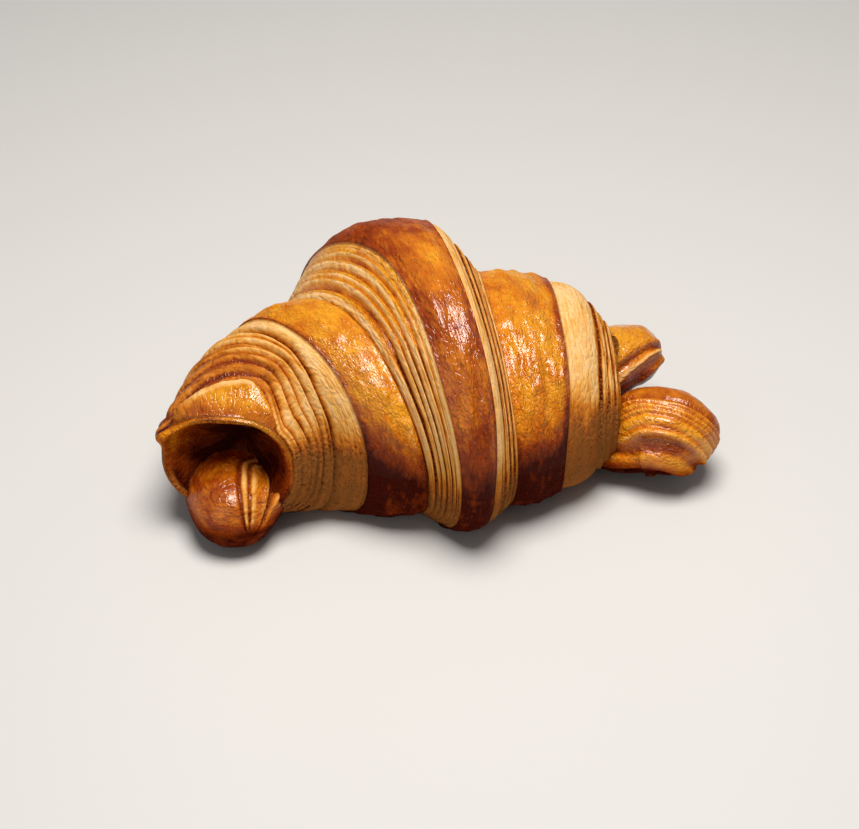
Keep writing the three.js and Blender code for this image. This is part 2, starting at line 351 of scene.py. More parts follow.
hollows = {
    "leftHollow": {"rim": 3.6, "depth": 12, "side": -1, "ridges": 7, "rows": 18,
                   "shares": [1, 0.94, 0.85, 0.74, 0.62, 0.4, 0]},
    "rightHollow": {"rim": 0.8, "depth": 3, "side": 1, "ridges": 4, "rows": 14,
                    "shares": [1, 0.93, 0.82, 0.68, 0.42, 0]},
}


def zoneRows():
    leftFoot = lambda a: roundRoll(edge["crownLeft"], a) - roundRoll(crown["leftFace"], a)
    rightFoot = lambda a: roundRoll(edge["crownRight"], a) + roundRoll(crown["rightFace"], a)
    named = lambda name: lambda a: roundRoll(edge[name], a)
    leftEnd = lambda a: roll["along"][0]
    rightEnd = lambda a: roll["along"][-1]
    rows = []

    def zone(name, start, end, count, reverse=False, closed=False):
        for step in range(count):
            share = step / (count - 1 if closed else count)
            share = 1 - share if reverse else share
            rows.append({"zone": name, "share": share, "start": start, "end": end})

    zone("leftHollow", leftEnd, leftEnd, hollows["leftHollow"]["rows"], reverse=True)
    zone("left", named("bandLeft"), leftEnd, cutFaces["left"]["rows"], reverse=True)
    zone("bandLeft", named("bandLeft"), leftFoot, crustRows["bandLeft"])
    zone("crownLeft", named("crownLeft"), leftFoot, cutFaces["crownLeft"]["rows"], reverse=True)
    zone("crown", named("crownLeft"), named("crownRight"), crustRows["crown"])
    zone("crownRight", named("crownRight"), rightFoot, cutFaces["crownRight"]["rows"])
    zone("bandRight", rightFoot, named("bandRight"), crustRows["bandRight"])
    zone("right", named("bandRight"), rightEnd, cutFaces["right"]["rows"])
    zone("rightHollow", rightEnd, rightEnd, hollows["rightHollow"]["rows"], closed=True)
    return rows


# What the material reads at each vertex: crust 1 or cut dough 0, how dark a groove is (browner dough
# with painted shade), how dark it is from baking and from painted shade, and how glazed it is

def finish(crustShare, groove, bake, glaze):
    return {"crust": crustShare, "groove": groove, "bake": bake, "glaze": glaze}


# The walls of the two hollows. Shares run from 1 at the middle of a hollow to 0 at its rim,
# and angles are a middle and a spread. Both walls darken towards the middle: painted shade.

wall = {
    "rimWidth": 1.6, "fade": 0.3,
    "across": 9,    # mm of pattern from rim to middle
    "streakScale": (0.035, 1.0), "streak": 2.2, "seed": 21, "ridge": 0.5,
}
# the right wall darkens towards the middle of the hollow: painted shade
rightWall = {"crust": 0.1, "groove": 0.1, "ridgeGroove": 0.35, "bake": 0.1, "middleShade": 0.25}
leftWall = {
    "leastRim": 0.3, "lipFrom": (0.26, 0.14), "lipRound": (78, 45), "curl": (0.08, 0.3),
    "curlSpread": 42, "edgeWidth": 0.1,
    "inner": (0.22, 0.2),    # the pale wall at the far side
    "innerRound": (215, 34),
    # raised arcs in the left hollow, painted lighter as if lit: painted light
    "arcs": [(0.2, 0.05, 1), (0.4, 0.06, 0.8), (0.3, 0.03, 0.5)],    # share, width, strength
    "arcsRound": (115, 60), "arcHeight": 0.5,
    "paleness": {"curled": 0.6, "edge": 0.7, "inner": 0.8},
    # deeper in the left hollow the groove and bake values darken it: painted shade
    "crust": 0.95, "paleCrust": 0.85, "groove": 0.05, "curlGroove": 0.4, "middleGrooveShade": 0.6,
    "innerGroove": 0.6,
    "bake": {"wall": 0.24, "lip": -0.05, "pale": -0.2, "streak": 0.3, "glow": -0.15, "deep": 0.2},
    "glaze": 0.1, "lipGlaze": 0.6,
}


def hollowSurface(name, degrees, share):
    hollow = hollows[name]
    steps = [k / (len(hollow["shares"]) - 1) for k in range(len(hollow["shares"]))]
    size = smoothThrough(steps, hollow["shares"], share)
    around = degrees % 360
    place = ringPlace(degrees, wall["across"] * share)
    middle = smooth(share / wall["fade"]) * smooth((1 - share) / wall["fade"])
    streak = grain(place, *wall["streakScale"], wall["seed"])
    ridge = 0.5 - 0.5 * math.cos(math.tau * (share * hollow["ridges"] + streak))
    arch = 1
    if name == "leftHollow":
        least = leftWall["leastRim"]
        arch = least + (1 - least) * bell(around, hood["at"], hood["backSpread"])
    outward = hollow["rim"] * arch * math.sin(math.pi * min(1, wall["rimWidth"] * share))
    outward -= hollow["depth"] * share * share
    outward += wall["streak"] * streak * middle
    if name == "rightHollow":
        # painted shade, darker towards the middle of the hollow
        groove = clamp(rightWall["groove"] + rightWall["ridgeGroove"] * ridge)
        bake = rightWall["bake"] + rightWall["middleShade"] * share
        return size, outward - wall["ridge"] * ridge, finish(rightWall["crust"], groove, bake, 0)
    curled = bell((degrees + 180) % 360 - 180, 0, leftWall["curlSpread"])
    curled *= 1 - rises(share, *leftWall["curl"])
    # lighter arcs on the ridges inside the hollow: painted light
    glow = sum(strength * bell(share, at, width) for at, width, strength in leftWall["arcs"])
    glow *= bell(around, *leftWall["arcsRound"])
    push = -(outward - wall["ridge"] * curled * ridge + leftWall["arcHeight"] * glow)
    return size, push, leftWallLook(around, share, curled, ridge, streak, glow)


def leftWallLook(around, share, curled, ridge, streak, glow):
    lip = falls(share, *leftWall["lipFrom"]) * bell(around, *leftWall["lipRound"])
    inner = bell(around, *leftWall["innerRound"]) * (1 - rises(share, *leftWall["inner"]))
    rim = max(0, 1 - share / leftWall["edgeWidth"]) * (1 - lip)
    paleness = leftWall["paleness"]
    pale = max(paleness["curled"] * curled, paleness["edge"] * rim, paleness["inner"] * inner) * (1 - lip)
    # painted shade, darker deeper in the hollow
    groove = clamp(leftWall["groove"] + leftWall["curlGroove"] * ridge * curled
                   + leftWall["middleGrooveShade"] * share * (1 - leftWall["innerGroove"] * inner))
    # the bake here holds browning, painted shade deeper in (share) and painted light on the arcs (glow)
    wallBakeShadeAndLight = leftWall["bake"]
    bake = (wallBakeShadeAndLight["wall"] + wallBakeShadeAndLight["lip"] * lip + wallBakeShadeAndLight["pale"] * pale + wallBakeShadeAndLight["streak"] * streak
            + wallBakeShadeAndLight["glow"] * glow + wallBakeShadeAndLight["deep"] * share)
    return finish(leftWall["crust"] - leftWall["paleCrust"] * pale, groove, bake,
                  leftWall["glaze"] + leftWall["lipGlaze"] * lip)


# The hood's lip is a puffed fold over the end of the left face: golden and glossy on top, darker
# at the rim, partly browner crust and partly painted shade where it turns under, with a torn pale
# edge where the layers end

hoodLip = {
    "start": 1.04,    # share of the left face, less the depth where the lip is
    "depth": 0.25, "at": 84, "frontSpread": 30, "backSpread": 46, "edge": 0.02, "lift": 0.4,
    "puff": 1.5, "wrinkles": 0.15, "blisters": 0.3, "seed": 26,
    "torn": 1.5,    # mm
    "tornShare": (0.04, 0.03), "tornFrom": (70, 22), "tornPaler": 0.9, "tornDuller": 0.8,
    "bake": 0.08, "rimBakeAndShade": 0.4, "rim": (0.93, 0.07),
}


def lipStart(degrees):
    around = degrees % 360
    spread = hoodLip["frontSpread" if around < hoodLip["at"] else "backSpread"]
    return hoodLip["start"] - hoodLip["depth"] * bell(around, hoodLip["at"], spread)


def lipSurface(dip, groove, degrees, share, place):
    begin = lipStart(degrees)
    past = share - begin
    inLip = smooth(past / hoodLip["edge"])
    torn = inLip * bell(past, *hoodLip["tornShare"]) * rises(degrees, *hoodLip["tornFrom"])
    puff = hoodLip["puff"] * math.sin(math.pi * clamp(past / max(0.01, 1 - begin)))
    relief = crustRelief(place, hoodLip["wrinkles"], hoodLip["blisters"], hoodLip["seed"])
    dip = dip * (1 - inLip) + inLip * (hoodLip["lift"] + puff + relief) + hoodLip["torn"] * torn
    # darker towards the rim: browner crust with painted shade where the lip turns under
    bake = hoodLip["bake"] + hoodLip["rimBakeAndShade"] * rises(share, *hoodLip["rim"])
    return dip, groove * (1 - inLip), inLip, torn, bake


# Colour of the cut faces. They are darker underneath, carry painted shade low at both sides, and are
# amber where the glaze has run over them. An angle here is where a change starts or ends, and how far it
# goes.

cutLook = {
    "bake": 0.04, "under": 0.3, "underMiddle": 88,
    "underFrom": (75, 60),    # away from the middle
    # low, front and back: painted shade low at the front and at the back of the cut faces
    "low": 0.42, "front": (25, 40), "back": (170, 60),
}
leftLook = {
    # low and lowBelow: painted shade on the lower front of the left face
    "low": 0.6, "lowBelow": (42, 45), "amberAbove": (48, 45), "amberShare": (0.2, 0.45),
    "amberCrust": 0.92, "crestPaler": 0.6, "glaze": 0.8, "inwardBake": 0.08, "amberBake": 0.2,
    "inwardAmberBake": 0.28,
}
crownFaceLook = {
    "bake": 0.6,    # of the other faces' bake
    "amberAbove": (45, 35), "amberCrust": 0.95, "crestPaler": 0.65, "glaze": 0.75,
    "coveredFrom": (146, 30),    # behind the crown its crust folds over the face
    "coveredTo": (205, 40), "coverEdge": 0.05, "coverWrinkles": 0.3, "coverBake": 0.4,
    "coverGlaze": 0.25,
}
# low and lowBelow: painted shade on the lower front of the right face, broken by mottled browning
rightLook = {"low": 0.85, "lowBelow": (54, 48), "mottle": 0.8, "mottleScale": (0.1, 0.3), "seed": 19}
crownSeed = 31


def underneath(degrees):
    away = abs((degrees - cutLook["underMiddle"] + 180) % 360 - 180)
    return rises(away, *cutLook["underFrom"])


def leftLayers(dip, groove, crest, bake, degrees, share, place):
    look = leftLook
    dip, groove, inLip, torn, lipBake = lipSurface(dip, groove, degrees, share, place)
    amber = rises(share, *look["amberShare"]) * rises(degrees, *look["amberAbove"])
    # painted shade on the lower front
    if degrees < 90:
        bake += look["low"] * falls(degrees, *look["lowBelow"])
    bake += look["inwardBake"] * share + (look["amberBake"] + look["inwardAmberBake"] * share) * amber
    bake = bake * (1 - inLip) + lipBake * inLip
    crustShare = max(inLip, amber * (look["amberCrust"] - look["crestPaler"] * crest))
    glaze = max(inLip, look["glaze"] * amber)
    return dip, finish(crustShare * (1 - hoodLip["tornPaler"] * torn), groove, bake,
                       glaze * (1 - hoodLip["tornDuller"] * torn))


def crownLayers(dip, groove, crest, bake, degrees, share, place):
    look = crownFaceLook
    amber = rises(degrees, *look["amberAbove"])
    coverStart, coverLength = look["coveredFrom"]
    covered = (degrees - coverStart) / coverLength * (1 - rises(degrees, *look["coveredTo"]))
    folded = falls(share, covered, look["coverEdge"])
    cover = crustRelief(place, look["coverWrinkles"], look["coverWrinkles"], crownSeed)
    dip = dip * (1 - folded) + folded * cover
    crustShare = max(folded, amber * (look["amberCrust"] - look["crestPaler"] * crest))
    return dip, finish(crustShare, groove * (1 - folded), look["bake"] * bake + look["coverBake"] * folded,
                       max(look["coverGlaze"] * folded, look["glaze"] * amber))


def cutSurface(name, degrees, share, place, edges):
    start = min(1, lipStart(degrees)) if name == "left" else 1
    dip, groove, crest = layerRelief(cutFaces[name], *edges, min(1, share / start), place)
    # painted shade low at the front and the back
    low = falls(degrees, *cutLook["front"]) if degrees < 90 else rises(degrees, *cutLook["back"])
    bake = cutLook["bake"] + cutLook["under"] * underneath(degrees) + cutLook["low"] * low
    if name == "left":
        return leftLayers(dip, groove, crest, bake, degrees, share, place)
    if name == "crownLeft":
        return crownLayers(dip, groove, crest, bake, degrees, share, place)
    # painted shade low at the front, made uneven by mottled browning
    if name == "right" and degrees < 90:
        mottle = 1 + rightLook["mottle"] * grain(place, *rightLook["mottleScale"], rightLook["seed"])
        bake += rightLook["low"] * falls(degrees, *rightLook["lowBelow"]) * mottle
    return dip, finish(0, groove, bake, 0)


# The crust of the crown and of the bands beside it: relief in mm, and how it has browned, with a browner
# base and painted shade low at the front and back

crustLook = {"fade": 0.1, "rimWidth": 0.05, "rim": 0.4, "glaze": 0.05, "glazeRound": (68, 40)}
crownLook = {
    "wrinkles": 0.3, "topWrinkles": 1.2, "wrinklesRound": (62, 27), "blisters": 0.35, "bake": 0.46,
    "leftEdge": 0.1, "leftEdgeWidth": 0.16, "rightEdge": 0.14, "rightEdgeWidth": 0.14,
    "golden": 0.36,    # the paler patch on top
    "goldenRound": (90, 14), "goldenAcross": (0.64, 0.3), "back": 0.12, "backRound": (120, 16),
    "low": 0.25, "lowBelow": (40, 45), "glaze": 1.4, "glazeRound": (66, 34),
}
leftBandLook = {
    "wrinkles": 0.45, "blisters": 0.55, "frontBlisters": 0.5, "frontRound": (25, 35), "seed": 37,
    "bake": 0.1, "low": 0.65, "lowBelow": (42, 50), "edge": 0.4, "edgeWidth": 0.12, "lowEdge": 0.2,
    "lowEdgeShare": (0.6, 0.5), "lowEdgeRound": (15, 25),
    "pale": 0.2,    # blistered skin beside the crown
    "paleCut": 0.45, "paleRound": (27, 16), "paleAcross": (0.85, 0.25),
}
rightBandLook = {
    "wrinkles": 1.7, "wrinklesRound": (55, 45), "blisters": 0.6, "seed": 43, "bake": 0.1,
    "low": 0.95, "lowBelow": (42, 52), "rim": 0.42, "rimShare": (0.84, 0.1), "crownEdge": 0.15,
    "crownEdgeWidth": 0.1,
}
bandBack = (150, 60)


def crownCrust(around, share, place):
    look = crownLook
    wrinkles = look["wrinkles"] + look["topWrinkles"] * bell(around, *look["wrinklesRound"])
    bake = (look["bake"] + look["leftEdge"] * (1 - smooth(share / look["leftEdgeWidth"]))
            + look["rightEdge"] * (1 - smooth((1 - share) / look["rightEdgeWidth"]))
            - look["golden"] * bell(around, *look["goldenRound"]) * bell(share, *look["goldenAcross"])
            + look["back"] * bell(around, *look["backRound"]))
    # low on the crown's front: a browner base with painted shade
    if around < 90:
        bake += look["low"] * falls(around, *look["lowBelow"])
    glaze = clamp(crustLook["glaze"] + look["glaze"] * bell(around, *look["glazeRound"]))
    return crustRelief(place, wrinkles, look["blisters"], crownSeed), finish(1, 0, bake, glaze)


# the lower front and back of a band: a browner base with painted shade
def lowOnBand(around, below):                # how far down the front or the back of a band
    return falls(around, *below) if around < 90 else rises(around, *bandBack)


def leftBandCrust(around, share, place, glaze):
    look = leftBandLook
    blisters = look["blisters"] + look["frontBlisters"] * bell(around, *look["frontRound"])
    pale = bell(share, *look["paleAcross"]) * bell(around, *look["paleRound"])
    bake = look["bake"] + look["low"] * lowOnBand(around, look["lowBelow"])
    bake += look["edge"] * (1 - smooth(share / look["edgeWidth"]))
    bake += look["lowEdge"] * falls(share, *look["lowEdgeShare"]) * bell(around, *look["lowEdgeRound"])
    bake -= look["pale"] * pale
    relief = crustRelief(place, look["wrinkles"], blisters, look["seed"])
    return relief, finish(1 - look["paleCut"] * pale, 0, bake, glaze)


def rightBandCrust(around, share, place, glaze):
    look = rightBandLook
    bake = look["bake"] + look["low"] * lowOnBand(around, look["lowBelow"])
    bake += look["rim"] * rises(share, *look["rimShare"])
    bake += look["crownEdge"] * (1 - smooth(share / look["crownEdgeWidth"]))
    wrinkles = look["wrinkles"] * bell(around, *look["wrinklesRound"])
    return crustRelief(place, wrinkles, look["blisters"], look["seed"]), finish(1, 0, bake, glaze)


def crustSurface(name, degrees, share, place):
    around = degrees % 360
    glaze = clamp(crustLook["glaze"] + bell(around, *crustLook["glazeRound"]))
    if name == "crown":
        relief, look = crownCrust(around, share, place)
    elif name == "bandLeft":
        relief, look = leftBandCrust(around, share, place, glaze)
    else:
        relief, look = rightBandCrust(around, share, place, glaze)
    fade = smooth(share / crustLook["fade"]) * smooth((1 - share) / crustLook["fade"])
    rim = 1 - smooth(min(share, 1 - share) / crustLook["rimWidth"])
    return fade * relief + crustLook["rim"] * rim, look


def rollSurface(row, degrees, edges):
    name, share = row["zone"], row["share"]
    start, end = row["start"](degrees), row["end"](degrees)
    along = start + (end - start) * share
    if name in hollows:
        size, push, look = hollowSurface(name, degrees, share)
        across = roll["hollowPattern"] * share * hollows[name]["side"]
        return along, 0, size, push, look, ringPlace(degrees, along + across)
    height = roundRoll(crown["height"], degrees)
    shoulder = roundRoll(crown["shoulderDrop"], degrees)
    lift = 0
    if name == "crownLeft":
        lift = (height - shoulder - crust["lip"]) * (1 - share)
    elif name == "crownRight":
        lift = (height - crown["brinkDrop"] - crust["lip"]) * (1 - share ** crown["rightFall"])
    elif name == "crown":
        lift = height - shoulder * max(0, 1 - share / crown["rounded"]) ** 2
        lift -= crown["brinkDrop"] * max(0, 1 - (1 - share) / crown["rounded"]) ** 2
    elif name not in cutFaces:
        lift = crust["lip"] + crust["swell"] * 4 * share * (1 - share)
    place = ringPlace(degrees, along)
    if name in cutFaces:
        place.z = cutFaces[name]["seed"] + share * cutFaces[name]["width"]
        relief, look = cutSurface(name, degrees, share, place, edges[name])
    else:
        relief, look = crustSurface(name, degrees, share, place)
    return along, lift + relief, 1, 0, look, place


# A sphere whose rows and columns of vertices move to new places, with its values as attributes

valueNames = ("crust", "groove", "bake", "glaze")


def toMesh(name, rowCount, columnCount, vertexAt):
    bm = bmesh.new()
    bmesh.ops.create_uvsphere(bm, u_segments=columnCount, v_segments=rowCount - 1, radius=1)
    layers = {key: bm.verts.layers.float.new(key) for key in valueNames}
    flow = bm.verts.layers.float_vector.new("flow")
    for vert in bm.verts:
        row = round(math.acos(clamp(vert.co.z, -1, 1)) / math.pi * (rowCount - 1))
        column = round(math.atan2(vert.co.y, vert.co.x) / math.tau * columnCount) % columnCount
        point, look, place = vertexAt(row, column)
        vert.co = point * mm
        vert[flow] = place
        for key, layer in layers.items():
            vert[layer] = clamp(look[key])
    mesh = bpy.data.meshes.new(name)
    bm.to_mesh(mesh)
    bm.free()
    piece = bpy.data.objects.new(name, mesh)
    bpy.context.scene.collection.objects.link(piece)
    return piece


# The roll as a whole is darker towards the tray, a browner base with painted shade, and no glaze
# reaches there. Heights in mm.

towardsTray = {"bake": 0.75, "bakeAndShadeBelow": (34, 30), "leastGlaze": 0.08, "glazeAbove": (8, 30)}


def makeRoll():
    rows = zoneRows()
    print("roll:", len(rows), "rows by", skin["columns"], "columns")
    angles = [columnAngle(column) for column in range(skin["columns"])]
    edges = [{name: layerEdges(face, angle) for name, face in cutFaces.items()} for angle in angles]
    leastGlaze = towardsTray["leastGlaze"]

    def vertexAt(row, column):
        degrees = angles[column]
        along, lift, size, push, look, place = rollSurface(rows[row], degrees, edges[column])
        point = rollPoint(along, degrees, lift, size, push)
        # darker low down: a browner base with painted shade
        look["bake"] += towardsTray["bake"] * falls(point.z, *towardsTray["bakeAndShadeBelow"])
        look["glaze"] *= leastGlaze + (1 - leastGlaze) * rises(point.z, *towardsTray["glazeAbove"])
        return point, look, place

    return toMesh("croissantRoll", len(rows), skin["columns"], vertexAt)


# What comes out of the two ends. A profile goes round the horn: angle, lift in mm, groove, crust.
# The groove darkens the folds: browner dough with painted shade in their hollows. 90 degrees is
# the top, and 0 is the left of the left horn and the front of the others.

horns = {
    "leftHorn": {
        "path": [(-53, -6, 9), (-59.5, -14.5, 9.5), (-59.5, -23, 9.5), (-57.5, -34, 7.5)],
        "radii": [11, 12.4, 11.8, 8.4], "flatness": 0.84, "twist": -50, "bake": 0.52, "wrinkles": 0.1,
        "tear": 0, "seed": 41, "fine": (80, 215),
        "profile": [(-90, 0, 0.2, 1), (40, 0, 0, 1), (90, 0.3, 0, 1), (96, 0.3, 0.2, 1),
                    (99, -1.0, 0.9, 0.7), (104, 1.0, 0, 0.2), (109, 0.4, 0.1, 0.2), (113, -0.8, 0.7, 0.5),
                    (119, 1.0, 0, 0.1), (125, 0.5, 0, 0.5), (136, 0.5, 0, 0.8), (143, 0.9, 0, 0.5),
                    (148, 0.1, 0.3, 0.5), (152, -1.8, 1, 0.6), (159, 1.6, 0.1, 0.4), (168, 2.2, 0.1, 0.8),
                    (185, 1.8, 0.3, 1), (205, 0.6, 0.5, 1), (270, 0, 0.2, 1)],
    },
    "lowerHorn": {
        "path": [(42, -10, 10), (48.5, -15.5, 9.5), (56, -18, 12.5), (62.5, -22, 12.7), (68.5, -24.5, 5)],
        "radii": [9, 9.4, 12.6, 11.5, 8.5], "flatness": 1.0, "twist": 0, "bake": 0.07, "wrinkles": 0.25,
        "tear": 0, "seed": 47, "fine": (-50, 125),
        "profile": [(-90, 0, 0.8, 1), (-45, -0.3, 0.8, 0.9), (-36, 0.5, 0.2, 0.6), (-28, -1.5, 1, 0.9),
                    (-20, 0.1, 0.6, 0.9), (-8, 1.5, 0.1, 0.9), (4, 1.5, 0, 0.8), (10, 0.9, 0, 0.6),
                    (15, -0.7, 0.7, 0.9), (25, -1.3, 0.75, 1), (33, -0.3, 0.6, 1), (37, 1.3, 0.2, 0.8),
                    (41, 1.1, 0, 0.5), (46, -0.3, 0.5, 0.9), (52, 0.3, 0, 0.7), (60, 0.4, 0, 0.8),
                    (65, -0.5, 0.5, 0.9), (69, 0.9, 0, 0.7), (73, -0.5, 0.5, 0.9), (77, 0.9, 0, 0.8),
                    (81.5, -0.4, 0.6, 1), (86, 0.8, 0.3, 1), (91, -0.3, 0.9, 1), (97, 0.6, 0.8, 1),
                    (125, 0.3, 0.8, 1), (180, 0, 0.6, 1), (270, 0, 0.8, 1)],
    },
    "upperHorn": {
        "path": [(42, 1, 18), (50, 3, 22), (58, 4.5, 22), (65.5, 4.5, 21.5)],
        "radii": [9.5, 10, 8.6, 8], "flatness": 1.0, "twist": 60, "bake": 0.04, "wrinkles": 0.3,
        "tear": 0.9, "seed": 53, "fine": (-50, 80),
        "profile": [(-90, 0, 0.8, 0.9), (-40, 0, 0.8, 0.9), (-25, 0.3, 0.6, 0.9), (-12, -0.4, 1, 0.9),
                    (4, -0.5, 1, 0.9), (13, 0, 0.6, 0.5), (19, 0.5, 0, 0.1), (25, 0.1, 0.3, 0.5),
                    (31, -0.9, 0.9, 0.9), (38, -0.4, 0.8, 1), (45, 0.7, 0.45, 0.9), (52, 0.6, 0.1, 0.9),
                    (65, 0, 0, 1), (90, 0, 0, 1), (160, 0, 0, 1), (270, 0, 0.8, 0.9)],
    },
}
hornSkin = {
    "rows": 46,
    "columns": 128,
    "fineShare": 0.72,    # of the columns, where a horn's folds are
    "crowding": 1.4,    # rows lie closer at the tip
    "step": 0.01,
}
hornFolds = {
    "wander": 7,    # degrees
    "wanderScale": (0.07, 0.07), "height": 0.8, "heightScale": (0.12, 0.12), "blisters": 0.35,
    "fadeBelow": 0.6,    # share of the full radius, towards the tip
    "closed": (0.3, 0.35),
}
tornTip = {"at": -28, "spread": 18, "closing": 0.38, "closingSpread": 0.18, "paler": 0.8}
hornLook = {
    "cutBake": 0.3,    # of the crust's bake
    # low and side: painted shade under the horn and where it faces down, with a browner base near the tray
    "tipBake": 0.2, "low": 0.6,
    "lowBelow": (15, 12),    # mm above the tray
    "side": 0.35, "sideBelow": (0.3, 0.7), "grooveDuller": 0.4, "glazeAbove": (10, 7),
}


def hornAngle(horn, column):
    low, high = horn["fine"]
    share = column / hornSkin["columns"]
    fine = hornSkin["fineShare"]
    if share < fine:
        return low + (high - low) * share / fine
    return high + (360 - high + low) * (share - fine) / (1 - fine)


def hornFinish(horn, height, facing, crustShare, groove, unfolded, torn):
    crustShare = clamp(1 - (1 - crustShare) * unfolded - tornTip["paler"] * torn)
    cutBake = hornLook["cutBake"]
    bake = horn["bake"] * (cutBake + (1 - cutBake) * crustShare) + hornLook["tipBake"] * (1 - unfolded)
    # painted shade low down and on the down-facing side, with a browner base
    bake += hornLook["low"] * falls(height, *hornLook["lowBelow"])
    bake += hornLook["side"] * falls(facing, *hornLook["sideBelow"])
    glaze = (1 - hornLook["grooveDuller"] * clamp(groove)) * rises(height, *hornLook["glazeAbove"])
    return finish(crustShare, groove * unfolded, bake, glaze)


def makeHorn(name):
    print("horn:", name)
    horn = horns[name]
    rowCount, columnCount = hornSkin["rows"], hornSkin["columns"]
    path = [Vector(p) + Vector((*roll["centreShift"], 0)) for p in horn["path"]]
    spans = [0.0]
    for a, b in zip(path, path[1:]):
        spans.append(spans[-1] + (b - a).length)
    length = spans[-1]
    tip = horn["radii"][-1] / length
    stations = [k / (len(horn["radii"]) - 1) for k in range(len(horn["radii"]))]
    angles, *profiles = zip(*horn["profile"])

    def onPath(t):
        return Vector([smoothThrough(spans, [p[axis] for p in path], t * length) for axis in range(3)])

    def vertexAt(row, column):
        t = 1 - (1 - row / (rowCount - 1)) ** hornSkin["crowding"]
        degrees = hornAngle(horn, column)
        radians = math.radians(degrees)
        tangent = onPath(min(1, t + hornSkin["step"])) - onPath(max(0, t - hornSkin["step"]))
        tangent.normalize()
        side = Vector((0, 0, 1)).cross(tangent).normalized()
        up = tangent.cross(side)
        closing = 0 if row == 0 else math.sqrt(max(0, 1 - clamp((t - 1 + tip) / tip) ** 2))
        radius = closing * smoothThrough(stations, horn["radii"], t)
        outward = up * math.sin(radians) * horn["flatness"] - side * math.cos(radians)
        place = onPath(t) + outward * radius
        wander = hornFolds["wander"] * grain(place, *hornFolds["wanderScale"], horn["seed"])
        onProfile = (degrees - horn["twist"] * (t - 0.5) + wander + 90) % 360 - 90
        lift, groove, crustShare = (smoothThrough(angles, values, onProfile) for values in profiles)
        lift *= hornFolds["height"] + grain(place, *hornFolds["heightScale"], horn["seed"] + 1)
        skinRelief = crustRelief(place, horn["wrinkles"], hornFolds["blisters"], horn["seed"] + 2)
        torn = (bell(onProfile, tornTip["at"], tornTip["spread"])
                * bell(closing, tornTip["closing"], tornTip["closingSpread"]) * horn["tear"])
        point = place + outward * (lift + skinRelief) * smooth(closing / hornFolds["fadeBelow"])
        point += tangent * torn
        point.z = max(point.z, 0)
        unfolded = rises(closing, *hornFolds["closed"]) if row > rowCount / 2 else 1
        look = hornFinish(horn, point.z, outward.z, crustShare, groove, unfolded, torn)
        return point, look, place

    return toMesh(name, rowCount, columnCount, vertexAt)


def uniteWith(piece, others):
    print("union of the roll and its horns")
    for other in others:
        join = piece.modifiers.new(other.name, "BOOLEAN")
        join.operation = "UNION"
        join.solver = "MANIFOLD"
        join.object = other
    bpy.context.view_layer.update()
    depsgraph = bpy.context.evaluated_depsgraph_get()
    mesh = bpy.data.meshes.new_from_object(piece.evaluated_get(depsgraph))
    piece.modifiers.clear()
    piece.data = mesh
    for other in others:
        bpy.data.objects.remove(other)
    finishSeams(mesh)
    mesh.shade_smooth()
    return piece


# The cut along a union leaves new vertices bare: each takes the values of its neighbours

def finishSeams(mesh):
    bm = bmesh.new()
    bm.from_mesh(mesh)
    flow = bm.verts.layers.float_vector["flow"]
    bare = {vert for vert in bm.verts if vert[flow].length < 1e-6}
    print("seam vertices:", len(bare))
    while bare:
        ready = []
        for vert in bare:
            others = [side.other_vert(vert) for side in vert.link_edges]
            known = [other for other in others if other not in bare]
            if known:
                ready.append((vert, known))
        if not ready:
            break
        for vert, known in ready:
            vert[flow] = known[0][flow]
            for name in valueNames:
                layer = bm.verts.layers.float[name]
                vert[layer] = sum(other[layer] for other in known) / len(known)
            bare.discard(vert)
    bmesh.ops.recalc_face_normals(bm, faces=bm.faces)
    bm.to_mesh(mesh)
    bm.free()


# Baked dough: glazed crust over pale cut layers, from the values kept on the mesh

dough = {
    "crustRamp": [(0.0, (0.80, 0.325, 0.014)), (0.28, (0.64, 0.18, 0.006)), (0.6, (0.32, 0.046, 0.002)),
                  (1.0, (0.06, 0.004, 0.0005))],
    "cutRamp": [(0.0, (0.89, 0.555, 0.24)), (0.2, (0.80, 0.40, 0.09)), (0.43, (0.60, 0.175, 0.012)),
                (0.72, (0.24, 0.035, 0.002)), (1.0, (0.07, 0.006, 0.0006))],
    "speckColour": (0.60, 0.24, 0.05),
    "speckStrength": 0.38,
    "roughness": (0.0, 0.9, 0.75, 0.3),    # gloss from and to, then the roughness there
}
doughSurface = {
    "Coat Roughness": 0.1,
    "Coat IOR": 1.6,
    "Specular IOR Level": 0.02,    # the gloss is the coat's
    "Subsurface Weight": 0.12,
    "Subsurface Radius": (1.0, 0.4, 0.15),
    "Subsurface Scale": 0.001,
}

# Patterns on the object: waves per metre, detail and roughness. Patterns on the flow: waves per
# mm, twice round the roll and once across it
patterns = {
    "broad": (50, 3),
    "patch": (190, 4, 0.6),
    "fine": (750, 3, 0.6),
    "pores": (1500, 2, 0.6),
    "bend": 260,
    "ribbon": (0.10, 0.10, 1.1),
    "mottle": (0.16, 0.16, 0.36),
    "puffs": (0.27, 0.27, 0.62),
    "web": (0.7, 0.7, 1.1),
}

